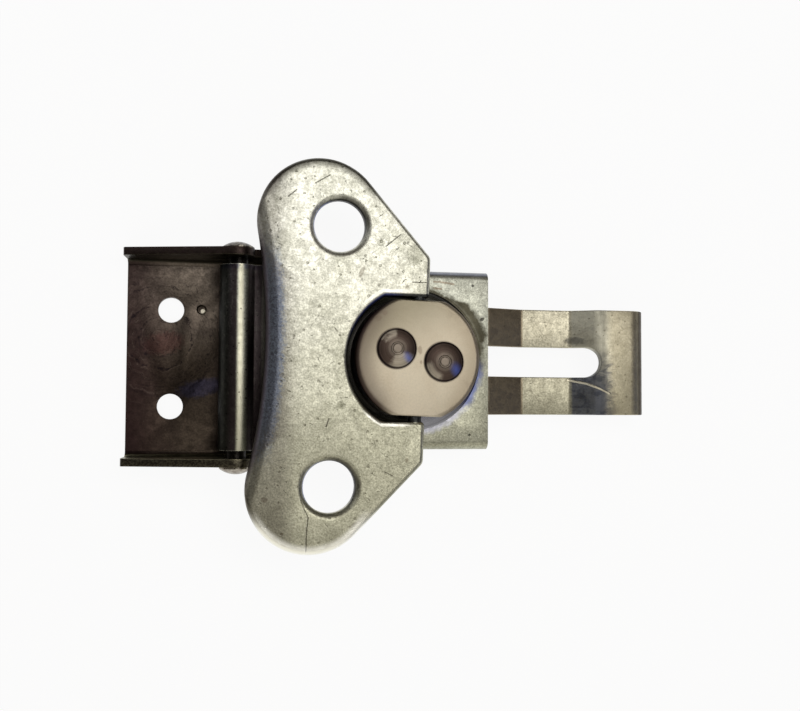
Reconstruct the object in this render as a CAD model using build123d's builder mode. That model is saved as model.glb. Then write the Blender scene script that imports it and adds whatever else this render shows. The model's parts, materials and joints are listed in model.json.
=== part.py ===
from build123d import *
import os
from math import asin, atan2, cos, degrees, hypot, radians, sin, sqrt

# Case latch: a rotary draw latch with a folding wing handle, for a carrying case.
# Millimetres. X runs along the latch from the base bracket to the hook, Y runs along
# the hinge pin and Z points away from the case. The origin is midway between the two
# mounting holes, on the mounting face. The latch is drawn in, with its handle folded
# flat over the body and the rotor turned two degrees clockwise, seen from above. The
# handle rests a little to -Y of the rotor, within the end play of its trunnions.

# Driving dimensions of the base bracket
base_sheet = 1.5
hole_pitch = 19.05
hole_radius = 2.5
dimple_radius = 1.0
dimple_depth = 0.6
dimple_spot = (5.9, 9.7)
base_inner_width = 38.6
base_bend = 1.2
base_left = -8.4
base_right = 21.0
base_corner = 2.5
flange_left = -9.0
flange_left_top = 7.9
flange_corner = 0.8
ear_x = 12.3
ear_top = 14.0
ear_round = 3.4
shelf_top = 10.4

# Driving dimensions of the hinge
pin_x = 12.6
pin_z = 8.6
pin_radius = 1.95
pin_hole_radius = 2.0
pin_head_radius = 3.15
pin_head_height = 1.6
pin_head_rim = 0.5

# Driving dimensions of the body
body_sheet = 1.5
body_width = 35.6
body_bend = 0.3
body_top = 10.4
body_left = 22.5
body_right = 62.4
body_corner = 2.0
curl_bend = 1.2
curl_sweep = 300.0

# Driving dimensions of the rotor
axis_x = 46.4
rest_turn = -2.0
disc_radius = 12.2
flat_offset = 11.1
disc_top = 17.8
disc_bottom = 11.7
disc_round_edge = 0.9
disc_flat_edge = 0.3
neck_radius = 8.0
neck_clearance = 0.08
cam_radius = 10.6
cam_offset = 2.5
cam_bottom = 5.9
cam_top = 8.2
retainer_radius = 14.0
retainer_sheet = 1.5
retainer_edge = 0.4
washer_radius = 14.0
washer_hole = 8.5
washer_sheet = 0.5
washer_rise = 0.7
washer_gap = 0.02
rivet_spots = [(-4.3, 1.6), (5.0, -0.5)]
rivet_names = ["hub_rivet_left", "hub_rivet_right"]
rivet_radius = 2.0
rivet_head_radius = 3.8
rivet_head_rim = 0.35
rivet_head_height = 1.1
rivet_ring_radius = 1.05
rivet_ring_depth = 0.25
rivet_foot_radius = 3.3
rivet_foot_height = 1.3

# Driving dimensions of the wing handle
handle_sheet = 3.0
hinge_z = 16.2
trunnion_radius = 1.3
trunnion_clearance = 0.06
trunnion_inner = 8.0
trunnion_end_play = 0.5
handle_drift = -0.3
lobe_spot = (-19.6, 25.3)
lobe_radius = 12.0
waist_x = -29.0
arm_end = 1.8
arm_corner = 1.6
arm_inner_corner = 0.8
slope_angle = 47.5
cut_radius = 13.6
cut_half_width = 11.8
finger_hole_spot = (-16.0, 24.65)
finger_hole_radius = 4.9
finger_hole_edge = 1.3
rolled_edge = 2.6
soft_edge = 0.9

# Driving dimensions of the draw hook
hook_sheet = 1.8
hook_width = 21.8
hook_heel_x = 29.0
hook_inside_z = 7.1
hook_drop_x = (63.0, 70.8)
hook_low_z = 4.6
hook_rise_x = (81.6, 86.8)
hook_crest_z = 7.6
hook_tip_x = 96.9
hook_tip_z = 0.8
hook_bend = 2.0
hook_curl = 3.0
slot_width = 6.2
slot_end = 87.5
yoke_wall = 2.3
cam_clearance = 0.4
cam_drift = 0.21

# Places worked out from the driving dimensions
base_outer_width = base_inner_width + 2 * base_sheet
flange_y = (base_inner_width + base_sheet) / 2
wall_y = (body_width - body_sheet) / 2
sheet_mid_z = body_top - body_sheet / 2
turn = radians(rest_turn)
rotor_x_dir = (cos(turn), sin(turn), 0)
rotor_axis = Axis((axis_x, 0, 0), (0, 0, 1))
rotor_upright = Plane(origin=(axis_x, 0, hinge_z), x_dir=rotor_x_dir, z_dir=(sin(turn), -cos(turn), 0))
handle_upright = rotor_upright.offset(-handle_drift)
handle_level = Plane(origin=handle_upright.origin, x_dir=rotor_x_dir, z_dir=(0, 0, 1))


# A level plane at a height, centred on the rotor's axis and turned with the rotor
def rotor_plane(height):
    return Plane(origin=(axis_x, 0, height), x_dir=rotor_x_dir, z_dir=(0, 0, 1))


# A folded sheet's section, drawn about its middle line
def folded_section(points, bends, sheet):
    with BuildSketch() as section:
        with BuildLine():
            FilletPolyline(*points, radius=bends)
            offset(amount=sheet / 2, side=Side.BOTH, closed=True)
        make_face()
    return section.sketch


# A round head, added to the part in hand: a straight rim on its seat and a dome above it
def add_head(seat, direction, radius, rim_height, height):
    rise = height - rim_height
    dome_radius = (radius**2 + rise**2) / (2 * rise)
    rim_angle = degrees(atan2(dome_radius - rise, radius))
    with BuildSketch(Plane(origin=seat, x_dir=(1, 0, 0), z_dir=Vector(1, 0, 0).cross(direction))) as section:
        with BuildLine():
            Polyline((0, height), (0, 0), (radius, 0), (radius, rim_height))
            CenterArc((0, height - dome_radius), dome_radius, rim_angle, 90 - rim_angle)
        make_face()
    revolve(section.sketch, axis=Axis(seat, direction))


# Base bracket: a U-shaped folding with an ear about the hinge pin on each flange
ear_z = ear_top - ear_round
slope_run = ear_x - flange_left
slope_rise = ear_z - flange_left_top
slope_lean = atan2(slope_rise, slope_run) + asin(ear_round / hypot(slope_run, slope_rise))
ear_touch = (ear_x - ear_round * sin(slope_lean), ear_z + ear_round * cos(slope_lean))

with BuildPart() as base_bracket:
    with BuildSketch(Plane.YZ.offset(flange_left)):
        flange_ends = [(-flange_y, ear_top), (flange_y, ear_top)]
        flange_roots = [(-flange_y, base_sheet / 2), (flange_y, base_sheet / 2)]
        channel = [flange_ends[0], *flange_roots, flange_ends[1]]
        add(folded_section(channel, base_bend + base_sheet / 2, base_sheet))
    extrude(amount=base_right - flange_left)
    with BuildSketch(Plane.XZ):
        with BuildLine():
            Polyline((ear_x + ear_round, ear_z), (ear_x + ear_round, shelf_top), (base_right, shelf_top))
            Polyline((base_right, shelf_top), (base_right, 0), (base_left, 0), (base_left, base_sheet))
            Polyline((base_left, base_sheet), (flange_left, flange_left_top), ear_touch)
            RadiusArc(ear_touch, (ear_x + ear_round, ear_z), ear_round)
        make_face()
    extrude(amount=base_outer_width, both=True, mode=Mode.INTERSECT)
    fillet(base_bracket.edges().filter_by(Axis.Y).group_by(Axis.X)[0], flange_corner)
    fillet(base_bracket.edges().filter_by(Axis.Y).group_by(Axis.X)[-1].group_by(Axis.Z)[-1], base_corner)
    with BuildSketch(Plane.XY):
        with GridLocations(0, hole_pitch, 1, 2):
            Circle(hole_radius)
    extrude(amount=base_sheet, mode=Mode.SUBTRACT)
    with BuildSketch(Plane.XZ):
        with Locations((pin_x, pin_z)):
            Circle(pin_hole_radius)
    extrude(amount=base_outer_width, both=True, mode=Mode.SUBTRACT)
    with BuildSketch(Plane.XY.offset(base_sheet)):
        with Locations(dimple_spot):
            Circle(dimple_radius)
    extrude(amount=-dimple_depth, taper=25, mode=Mode.SUBTRACT)
base_bracket.part.label = "base_bracket"


# Hinge pin: riveted over outside both flanges, with a domed head at each end
with BuildPart() as hinge_pin:
    with BuildSketch(Plane.XZ):
        with Locations((pin_x, pin_z)):
            Circle(pin_radius)
    extrude(amount=base_outer_width / 2, both=True)
    for side in (-1, 1):
        pin_end = Vector(pin_x, side * base_outer_width / 2, pin_z)
        add_head(pin_end, Vector(0, side, 0), pin_head_radius, pin_head_rim, pin_head_height)
hinge_pin.part.label = "hinge_pin"


# Latch body: a plate with two side walls, curled about the hinge pin at one end
curl_radius = pin_hole_radius + body_sheet / 2
bend_z = sheet_mid_z + curl_bend
bend_x = pin_x + sqrt((curl_radius + curl_bend) ** 2 - (bend_z - pin_z) ** 2)
curl_start = degrees(atan2(bend_z - pin_z, bend_x - pin_x))

with BuildPart() as latch_body:
    with BuildSketch(Plane.YZ.offset(body_left)):
        wall_ends = [(-wall_y, -body_sheet), (wall_y, -body_sheet)]
        wall_roots = [(-wall_y, sheet_mid_z), (wall_y, sheet_mid_z)]
        cover = [wall_ends[0], *wall_roots, wall_ends[1]]
        add(folded_section(cover, body_bend + body_sheet / 2, body_sheet))
        split(bisect_by=Plane.XZ, keep=Keep.BOTTOM)
    extrude(amount=body_right - body_left)
    with BuildSketch(Plane.XZ):
        with BuildLine():
            Line((body_left + body_sheet, sheet_mid_z), (bend_x, sheet_mid_z))
            CenterArc((bend_x, bend_z), curl_bend, 270, curl_start - 90)
            CenterArc((pin_x, pin_z), curl_radius, curl_start, curl_sweep)
            offset(amount=body_sheet / 2, side=Side.BOTH, closed=True)
        make_face()
    extrude(amount=body_width / 2, both=True)
    with BuildSketch(Plane.XY.offset(body_top)):
        with Locations((axis_x, 0)):
            Circle(neck_radius + neck_clearance)
    extrude(amount=-2 * body_sheet, mode=Mode.SUBTRACT)
    heel_edges = latch_body.edges().filter_by(Axis.Y).filter_by_position(Axis.Z, -0.1, 0.1)
    fillet(heel_edges, body_corner)
latch_body.part.label = "latch_body"


# Spring washer: a dished ring between the body and the rotor
with BuildPart() as spring_washer:
    with BuildSketch(Plane.XZ):
        with BuildLine():
            seat = body_top + washer_gap
            Polyline(
                (axis_x + washer_radius, seat),
                (axis_x + washer_radius, seat + washer_sheet),
                (axis_x + washer_hole, seat + washer_rise + washer_sheet),
                (axis_x + washer_hole, seat + washer_rise),
                close=True,
            )
        make_face()
    revolve(axis=rotor_axis)
spring_washer.part.label = "spring_washer"


# Rotor cutters: the two rivet bores and the two bearings of the handle's trunnions
with BuildPart() as rivet_bores:
    with BuildSketch(rotor_plane(0)):
        with Locations(*rivet_spots):
            Circle(rivet_radius)
    extrude(amount=2 * disc_top)

with BuildPart() as trunnion_bearings:
    with BuildSketch(rotor_upright):
        Circle(trunnion_radius + trunnion_clearance)
    extrude(amount=disc_radius, both=True)
    with BuildSketch(rotor_upright):
        Circle(trunnion_radius + trunnion_clearance)
    extrude(amount=trunnion_inner - trunnion_end_play, both=True, mode=Mode.SUBTRACT)


# The disc's round face with its two flats
def disc_face():
    Circle(disc_radius)
    Rectangle(2 * disc_radius, 2 * flat_offset, mode=Mode.INTERSECT)


# Hub base: the lower layer of the disc, with the neck that turns in the body
with BuildPart() as hub_base:
    with BuildSketch(rotor_plane(disc_bottom)):
        disc_face()
    extrude(amount=hinge_z - disc_bottom)
    with BuildSketch(rotor_plane(cam_top)):
        Circle(neck_radius)
    extrude(amount=disc_bottom - cam_top)
    add(rivet_bores.part, mode=Mode.SUBTRACT)
    add(trunnion_bearings.part, mode=Mode.SUBTRACT)
hub_base.part.label = "hub_base"


# Hub cap: the upper layer of the disc, riveted down over the trunnions
with BuildPart() as hub_cap:
    with BuildSketch(rotor_plane(hinge_z)):
        disc_face()
    extrude(amount=disc_top - hinge_z)
    fillet(hub_cap.edges().group_by(Axis.Z)[-1].filter_by(GeomType.CIRCLE), disc_round_edge)
    fillet(hub_cap.edges().group_by(Axis.Z)[-1].filter_by(GeomType.LINE), disc_flat_edge)
    add(rivet_bores.part, mode=Mode.SUBTRACT)
    add(trunnion_bearings.part, mode=Mode.SUBTRACT)
hub_cap.part.label = "hub_cap"


# Draw cam: a round plate set off the rotor's axis, inside the yoke of the hook
with BuildPart() as draw_cam:
    with BuildSketch(rotor_plane(cam_bottom)):
        with Locations((-cam_offset, 0)):
            Circle(cam_radius)
    extrude(amount=cam_top - cam_bottom)
    add(rivet_bores.part, mode=Mode.SUBTRACT)
draw_cam.part.label = "draw_cam"


# Cam retainer: the plate under the cam that carries the hook
with BuildPart() as cam_retainer:
    with BuildSketch(rotor_plane(cam_bottom - retainer_sheet)):
        Circle(retainer_radius)
    extrude(amount=retainer_sheet)
    chamfer(cam_retainer.faces().sort_by(Axis.Z)[0].edges(), retainer_edge)
    add(rivet_bores.part, mode=Mode.SUBTRACT)
cam_retainer.part.label = "cam_retainer"


# Hub rivets: a domed foot below, and above a formed head with a ring about its centre nipple
rivet_length = disc_top - cam_bottom + retainer_sheet
hub_rivets = []
for rivet_name, rivet_spot in zip(rivet_names, rivet_spots):
    rivet_foot = rotor_plane(cam_bottom - retainer_sheet).from_local_coords(Vector(rivet_spot))
    rivet_seat = rotor_plane(disc_top).from_local_coords(Vector(rivet_spot))
    ring_plane = Plane(origin=rivet_seat, x_dir=(1, 0, 0), z_dir=(0, -1, 0))
    with BuildPart() as hub_rivet:
        with BuildSketch(Plane(origin=rivet_foot)):
            Circle(rivet_radius)
        extrude(amount=rivet_length)
        add_head(rivet_foot, Vector(0, 0, -1), rivet_foot_radius, rivet_head_rim, rivet_foot_height)
        add_head(rivet_seat, Vector(0, 0, 1), rivet_head_radius, rivet_head_rim, rivet_head_height)
        with BuildSketch(ring_plane):
            with Locations((rivet_ring_radius, rivet_head_height)):
                Circle(rivet_ring_depth)
        revolve(axis=Axis(rivet_seat, (0, 0, 1)), mode=Mode.SUBTRACT)
    hub_rivet.part.label = rivet_name
    hub_rivets.append(hub_rivet)


# Wing handle: a thick plate with two round lobes, a cut-out about the disc and a trunnion
# on each arm; its outer edge is rolled over between the lobes
lobe_reach = lobe_spot[0] - waist_x
waist_radius = (lobe_spot[1] ** 2 + lobe_reach**2 - lobe_radius**2) / (2 * (lobe_radius - lobe_reach))
waist_centre = waist_x - waist_radius
waist_lean = atan2(lobe_spot[1], lobe_spot[0] - waist_centre)
slope = radians(slope_angle)
slope_touch = (lobe_spot[0] + lobe_radius * sin(slope), lobe_spot[1] + lobe_radius * cos(slope))
arm_tip_y = slope_touch[1] - (arm_end - slope_touch[0]) * sin(slope) / cos(slope)
cut_corner_x = -sqrt(cut_radius**2 - cut_half_width**2)
cut_lean = degrees(atan2(cut_half_width, cut_corner_x))
arm_corners = [slope_touch, (arm_end, arm_tip_y), (arm_end, cut_half_width), (cut_corner_x, cut_half_width)]

with BuildPart() as wing_handle:
    with BuildSketch(handle_level.offset(-handle_sheet / 2)):
        with BuildLine():
            CenterArc((waist_centre, 0), waist_radius, 0, degrees(waist_lean))
            CenterArc(lobe_spot, lobe_radius, 90 - slope_angle, 90 + slope_angle + degrees(waist_lean))
            FilletPolyline(*arm_corners, radius=[arm_corner, arm_inner_corner])
            CenterArc((0, 0), cut_radius, cut_lean, 180 - cut_lean)
            mirror(about=Plane.XZ)
        make_face()
        with Locations(finger_hole_spot, (finger_hole_spot[0], -finger_hole_spot[1])):
            Circle(finger_hole_radius, mode=Mode.SUBTRACT)
    extrude(amount=handle_sheet)
    fillet(wing_handle.faces().filter_by(Axis.Z).sort_by(Axis.Z)[-1].inner_wires().edges(), finger_hole_edge)
    fillet(wing_handle.faces().filter_by(Axis.Z).sort_by(Axis.Z)[-1].outer_wire().edges(), soft_edge)
    fillet(wing_handle.faces().filter_by(Axis.Z).sort_by(Axis.Z)[0].edges(), soft_edge)
    with BuildSketch(handle_upright):
        with BuildLine():
            Line((waist_x - soft_edge, handle_sheet), (waist_x - soft_edge, -rolled_edge))
            Line((waist_x - soft_edge, -rolled_edge), (waist_x, handle_sheet / 2 - rolled_edge))
            RadiusArc(
                (waist_x, handle_sheet / 2 - rolled_edge),
                (waist_x + rolled_edge, handle_sheet / 2),
                rolled_edge,
            )
            Polyline(
                (waist_x + rolled_edge, handle_sheet / 2),
                (waist_x + rolled_edge, handle_sheet),
                (waist_x - soft_edge, handle_sheet),
            )
        make_face()
    rolled_axis = handle_level.from_local_coords(Vector(waist_centre, 0, 0))
    revolve(axis=Axis(rolled_axis, (0, 0, 1)), mode=Mode.SUBTRACT)
    with BuildSketch(handle_upright):
        Circle(trunnion_radius)
    extrude(amount=cut_half_width + soft_edge, both=True)
    with BuildSketch(handle_upright):
        Circle(2 * trunnion_radius)
    extrude(amount=trunnion_inner, both=True, mode=Mode.SUBTRACT)
wing_handle.part.label = "wing_handle"


# Draw hook: a slotted strip with a down-turned end and a yoke about the cam
yoke_x = axis_x - cam_offset * cos(turn)
window_round = cam_radius + cam_clearance
window_slide = cam_drift * cam_offset
hook_line = [
    (hook_heel_x, hook_inside_z),
    (hook_drop_x[0], hook_inside_z),
    (hook_drop_x[1], hook_low_z),
    (hook_rise_x[0], hook_low_z),
    (hook_rise_x[1], hook_crest_z),
    (hook_tip_x, hook_crest_z),
    (hook_tip_x, hook_tip_z + hook_sheet / 2),
]

with BuildPart() as draw_hook:
    with BuildSketch(Plane.XZ):
        add(folded_section(hook_line, [hook_bend] * 4 + [hook_curl], hook_sheet))
    extrude(amount=body_width / 2, both=True)
    with BuildSketch(Plane.XY):
        with Locations((yoke_x, 0)):
            SlotCenterToCenter(2 * cam_offset, 2 * (window_round + yoke_wall), rotation=90)
        with Locations(((yoke_x + hook_tip_x + hook_sheet) / 2, 0)):
            Rectangle(hook_tip_x + hook_sheet - yoke_x, hook_width)
        with Locations((yoke_x - window_slide, 0), (yoke_x + window_slide, 0)):
            SlotCenterToCenter(2 * cam_offset, 2 * window_round, rotation=90, mode=Mode.SUBTRACT)
        with Locations((slot_end - slot_width / 2, 0)):
            Circle(slot_width / 2, mode=Mode.SUBTRACT)
        with Locations(((yoke_x + slot_end - slot_width / 2) / 2, 0)):
            Rectangle(slot_end - slot_width / 2 - yoke_x, slot_width, mode=Mode.SUBTRACT)
    extrude(amount=body_top, mode=Mode.INTERSECT)
draw_hook.part.label = "draw_hook"


os.makedirs("parts", exist_ok=True)
pieces = [base_bracket, hinge_pin, latch_body, spring_washer, hub_base, hub_cap, draw_cam, cam_retainer]
for piece in pieces + hub_rivets + [wing_handle, draw_hook]:
    export_step(piece.part, f"parts/{piece.part.label}.step")
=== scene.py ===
import json
import math

import bpy
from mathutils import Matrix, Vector


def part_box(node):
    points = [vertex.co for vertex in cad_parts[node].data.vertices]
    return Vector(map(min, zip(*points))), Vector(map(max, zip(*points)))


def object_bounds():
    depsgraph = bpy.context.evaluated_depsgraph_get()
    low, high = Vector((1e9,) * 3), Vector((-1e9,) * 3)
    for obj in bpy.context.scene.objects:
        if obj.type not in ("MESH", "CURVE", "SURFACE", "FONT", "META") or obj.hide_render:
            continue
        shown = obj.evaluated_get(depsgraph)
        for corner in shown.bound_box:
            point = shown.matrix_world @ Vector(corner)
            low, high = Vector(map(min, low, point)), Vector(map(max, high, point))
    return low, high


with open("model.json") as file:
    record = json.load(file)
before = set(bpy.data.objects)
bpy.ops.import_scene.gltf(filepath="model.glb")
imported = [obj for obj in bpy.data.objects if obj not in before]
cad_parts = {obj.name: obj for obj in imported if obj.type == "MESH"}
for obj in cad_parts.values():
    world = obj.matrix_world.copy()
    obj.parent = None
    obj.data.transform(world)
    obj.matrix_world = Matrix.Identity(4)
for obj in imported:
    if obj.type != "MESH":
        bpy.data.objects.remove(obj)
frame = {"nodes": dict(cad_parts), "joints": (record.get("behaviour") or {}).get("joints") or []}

# Case latch: finishes, rounded edges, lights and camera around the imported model.
# Blender works in metres. Places in the shaders and in the dictionaries are millimetres.

mm = 0.001
cadLow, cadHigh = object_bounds()
rotorJoint = next(joint for joint in frame["joints"] if joint["name"] == "rotor_turn")
rotorCentre = (rotorJoint["pos_m"][0] / mm, rotorJoint["pos_m"][1] / mm, 0.0)


def middleOf(node):
    low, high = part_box(node)
    return tuple((low + high) / 2 / mm)


def tone(red, green, blue):  # a colour as it looks on screen, 0 to 255, in linear values
    def linear(value):
        share = value / 255
        return share / 12.92 if share <= 0.04045 else ((share + 0.055) / 1.055) ** 2.4
    return (linear(red), linear(green), linear(blue), 1.0)


# Small helpers that place and join shader nodes
def plug(tree, value, socket):
    if isinstance(value, bpy.types.NodeSocket):
        tree.links.new(value, socket)
    else:
        socket.default_value = value


def makeNode(tree, kind, inputs=None, **settings):
    node = tree.nodes.new(kind)
    for name, value in settings.items():
        setattr(node, name, value)
    for name, value in (inputs or {}).items():
        plug(tree, value, node.inputs[name])
    return node


def calc(tree, operation, *values, clamp=False):
    node = makeNode(tree, "ShaderNodeMath", operation=operation, use_clamp=clamp)
    for socket, value in zip(node.inputs, values):
        plug(tree, value, socket)
    return node.outputs[0]


def vectorCalc(tree, operation, *values):
    node = makeNode(tree, "ShaderNodeVectorMath", operation=operation)
    for socket, value in zip(node.inputs, values):
        plug(tree, value, socket)
    givesNumber = operation in ("DOT_PRODUCT", "LENGTH", "DISTANCE")
    return node.outputs["Value" if givesNumber else "Vector"]


def fade(tree, value, low, high, toLow=0.0, toHigh=1.0):  # a smooth step between two values
    inputs = {"Value": value, "From Min": low, "From Max": high, "To Min": toLow, "To Max": toHigh}
    return makeNode(tree, "ShaderNodeMapRange", inputs, interpolation_type="SMOOTHSTEP").outputs["Result"]


def mixTone(tree, share, first, second, blendType="MIX"):
    node = makeNode(tree, "ShaderNodeMix", data_type="RGBA", blend_type=blendType)
    plug(tree, share, node.inputs[0])
    plug(tree, first, node.inputs[6])
    plug(tree, second, node.inputs[7])
    return node.outputs[2]


def noise(tree, place, size, detail=3.0, roughness=0.5, distortion=0.0):  # size in millimetres
    scale = calc(tree, "DIVIDE", 1.0, size)
    inputs = {"Vector": place, "Scale": scale, "Detail": detail, "Roughness": roughness,
              "Distortion": distortion}
    return makeNode(tree, "ShaderNodeTexNoise", inputs).outputs[0]


def along(tree, place, axis):
    return makeNode(tree, "ShaderNodeSeparateXYZ", {"Vector": place}).outputs[axis]


def times(tree, first, *masks):
    for mask in masks:
        first = calc(tree, "MULTIPLY", first, mask)
    return first


def minus(tree, first, second):
    return calc(tree, "SUBTRACT", first, second)


def unsigned(tree, value):
    return calc(tree, "ABSOLUTE", value)


def inPlane(tree, vector):  # the vector without its height
    return vectorCalc(tree, "MULTIPLY", vector, (1.0, 1.0, 0.0))


def awayFrom(tree, place, spot):  # level distance from a place given as x and y
    offset = vectorCalc(tree, "SUBTRACT", place, (spot[0], spot[1], 0.0))
    return vectorCalc(tree, "LENGTH", inPlane(tree, offset))


def offsetFrom(tree, place, spot):  # how far to the right and how far up from such a place
    return minus(tree, along(tree, place, "X"), spot[0]), minus(tree, along(tree, place, "Y"), spot[1])


def inZone(tree, place, edges):  # an edge is an axis and the places on it where the mask is none and full
    return times(tree, *[fade(tree, along(tree, place, axis), none, full) for axis, none, full in edges])


def tint(tree, colour, mask, strength, newTone):
    return mixTone(tree, times(tree, mask, strength), colour, newTone)


def grade(tree, colour, grain, darkest, palest):  # a fine mottle, darker and paler than the colour
    return mixTone(tree, 1.0, colour, fade(tree, grain, 0.28, 0.72, darkest, palest), "MULTIPLY")


def newGroup(name, inputs, outputs):  # an input is None for a vector, or else a number or a colour
    tree = bpy.data.node_groups.new(name, "ShaderNodeTree")
    for label, value in inputs.items():
        kind = {type(None): "Vector", float: "Float", tuple: "Color"}[type(value)]
        socket = tree.interface.new_socket(label, in_out="INPUT", socket_type="NodeSocket" + kind)
        if value is not None:
            socket.default_value = value
    for label, kind in outputs.items():
        tree.interface.new_socket(label, in_out="OUTPUT", socket_type="NodeSocket" + kind)
    return tree, tree.nodes.new("NodeGroupInput").outputs, tree.nodes.new("NodeGroupOutput").inputs


def useGroup(tree, group, **inputs):  # an input named in camelCase is the socket of those words
    node = makeNode(tree, "ShaderNodeGroup", node_tree=group)
    for name, value in inputs.items():
        label = "".join(" " + letter if letter.isupper() else letter for letter in name).title()
        plug(tree, value, node.inputs[label])
    return node.outputs


# Effects that several finishes share
def scatter(tree, place, spacing):  # the way from the nearest random point, and that point's chances
    inputs = {"Vector": place, "Scale": calc(tree, "DIVIDE", 1.0, spacing)}
    cell = makeNode(tree, "ShaderNodeTexVoronoi", inputs, voronoi_dimensions="2D").outputs
    chance = makeNode(tree, "ShaderNodeSeparateColor", {"Color": cell["Color"]}).outputs
    return inPlane(tree, vectorCalc(tree, "SUBTRACT", place, cell["Position"])), chance


def makeShortScratches():
    inputs = {"Place": None, "Spacing": 3.0, "Length": 1.2, "Width": 0.05, "Amount": 0.5}
    tree, given, result = newGroup("shortScratches", inputs, {"Mask": "Float"})
    wobble = makeNode(tree, "ShaderNodeTexNoise", {"Vector": given["Place"], "Scale": 1.1, "Detail": 1.0})
    shift = vectorCalc(tree, "SCALE", vectorCalc(tree, "SUBTRACT", wobble.outputs["Color"], (0.5, 0.5, 0.5)))
    shift.node.inputs["Scale"].default_value = 0.7
    place = vectorCalc(tree, "ADD", given["Place"], shift)
    offset, chance = scatter(tree, place, given["Spacing"])
    angle = times(tree, chance["Red"], 2 * math.pi)
    cosine = calc(tree, "COSINE", angle)
    sine = calc(tree, "SINE", angle)
    lengthways = makeNode(tree, "ShaderNodeCombineXYZ", {"X": cosine, "Y": sine}).outputs[0]
    crossways = makeNode(tree, "ShaderNodeCombineXYZ", {"X": times(tree, sine, -1.0), "Y": cosine}).outputs[0]
    fromMiddle = unsigned(tree, vectorCalc(tree, "DOT_PRODUCT", offset, lengthways))
    fromLine = unsigned(tree, vectorCalc(tree, "DOT_PRODUCT", offset, crossways))
    reach = times(tree, given["Length"], calc(tree, "ADD", chance["Green"], 0.2))
    line = times(tree, fade(tree, fromLine, given["Width"], 0.0), fade(tree, fromMiddle, reach, 0.0))
    chosen = calc(tree, "LESS_THAN", chance["Blue"], given["Amount"])
    tree.links.new(times(tree, line, chosen), result["Mask"])
    return tree


def makeRoundMarks():
    inputs = {"Place": None, "Spacing": 3.0, "Size": 0.3, "Amount": 0.5}
    tree, given, result = newGroup("roundMarks", inputs, {"Mask": "Float"})
    offset, chance = scatter(tree, given["Place"], given["Spacing"])
    ragged = noise(tree, given["Place"], 0.35, 2.0)
    reach = times(tree, given["Size"], calc(tree, "ADD", chance["Red"], 0.25), calc(tree, "ADD", ragged, 0.5))
    spot = fade(tree, vectorCalc(tree, "LENGTH", offset), reach, times(tree, reach, 0.4))
    chosen = calc(tree, "LESS_THAN", chance["Blue"], given["Amount"])
    tree.links.new(times(tree, spot, chosen), result["Mask"])
    return tree


def makePlacedSpot():
    inputs = {"Place": None, "Centre": None, "Long": 1.0, "Wide": 1.0, "Angle": 0.0,
              "Ragged": 0.3, "Inner": 0.55}
    tree, given, result = newGroup("placedSpot", inputs, {"Mask": "Float"})
    offset = inPlane(tree, vectorCalc(tree, "SUBTRACT", given["Place"], given["Centre"]))
    turned = makeNode(tree, "ShaderNodeVectorRotate", {"Vector": offset, "Angle": given["Angle"]},
                      rotation_type="Z_AXIS")
    reach = makeNode(tree, "ShaderNodeCombineXYZ", {"X": given["Long"], "Y": given["Wide"], "Z": 1.0})
    share = vectorCalc(tree, "DIVIDE", turned.outputs[0], reach.outputs[0])
    uneven = times(tree, minus(tree, noise(tree, given["Place"], 0.7, 5.0, 0.65), 0.5), 2.0)
    share = calc(tree, "MULTIPLY_ADD", uneven, given["Ragged"], vectorCalc(tree, "LENGTH", share))
    tree.links.new(fade(tree, share, 1.1, given["Inner"]), result["Mask"])
    return tree


def makePlacedLine():
    inputs = {"Place": None, "Start": None, "End": None, "Width": 0.1, "Ragged": 0.1}
    tree, given, result = newGroup("placedLine", inputs, {"Mask": "Float"})
    run = inPlane(tree, vectorCalc(tree, "SUBTRACT", given["End"], given["Start"]))
    offset = inPlane(tree, vectorCalc(tree, "SUBTRACT", given["Place"], given["Start"]))
    onLine, whole = vectorCalc(tree, "DOT_PRODUCT", offset, run), vectorCalc(tree, "DOT_PRODUCT", run, run)
    share = calc(tree, "DIVIDE", onLine, whole, clamp=True)
    nearest = vectorCalc(tree, "SCALE", run)
    tree.links.new(share, nearest.node.inputs["Scale"])
    distance = vectorCalc(tree, "DISTANCE", offset, nearest)
    uneven = minus(tree, noise(tree, given["Place"], 0.8, 3.0), 0.5)
    distance = calc(tree, "MULTIPLY_ADD", uneven, given["Ragged"], distance)
    mask = fade(tree, distance, given["Width"], times(tree, given["Width"], 0.3))
    tree.links.new(mask, result["Mask"])
    return tree


# the rub output is outer edges rubbed bright as wear; the crease output is painted shade in corners and
# creases, from ambient occlusion
def makeEdgeRubAndCreaseShade():
    outputs = {"Rub": "Float", "CreaseShade": "Float"}
    tree, given, result = newGroup("edgeRubAndCreaseShade", {"Place": None, "Reach": 0.3}, outputs)
    reach = times(tree, given["Reach"], mm)
    rounded = makeNode(tree, "ShaderNodeBevel", {"Radius": reach}, samples=6).outputs[0]
    flat = makeNode(tree, "ShaderNodeNewGeometry").outputs["Normal"]
    turn = minus(tree, 1.0, vectorCalc(tree, "DOT_PRODUCT", rounded, flat))
    # painted shade: darker where ambient occlusion finds corners and creases
    openness = makeNode(tree, "ShaderNodeAmbientOcclusion", {"Distance": times(tree, reach, 5.0)}, samples=6)
    creaseShading = minus(tree, 1.0, openness.outputs["AO"])
    uneven = fade(tree, noise(tree, given["Place"], 0.6, 4.0, 0.6), 0.3, 0.7, 0.35, 1.0)
    rub = times(tree, fade(tree, turn, 0.01, 0.18), uneven, fade(tree, creaseShading, 0.5, 0.2))
    tree.links.new(rub, result["Rub"])
    tree.links.new(fade(tree, creaseShading, 0.25, 0.85), result["CreaseShade"])
    return tree


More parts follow.
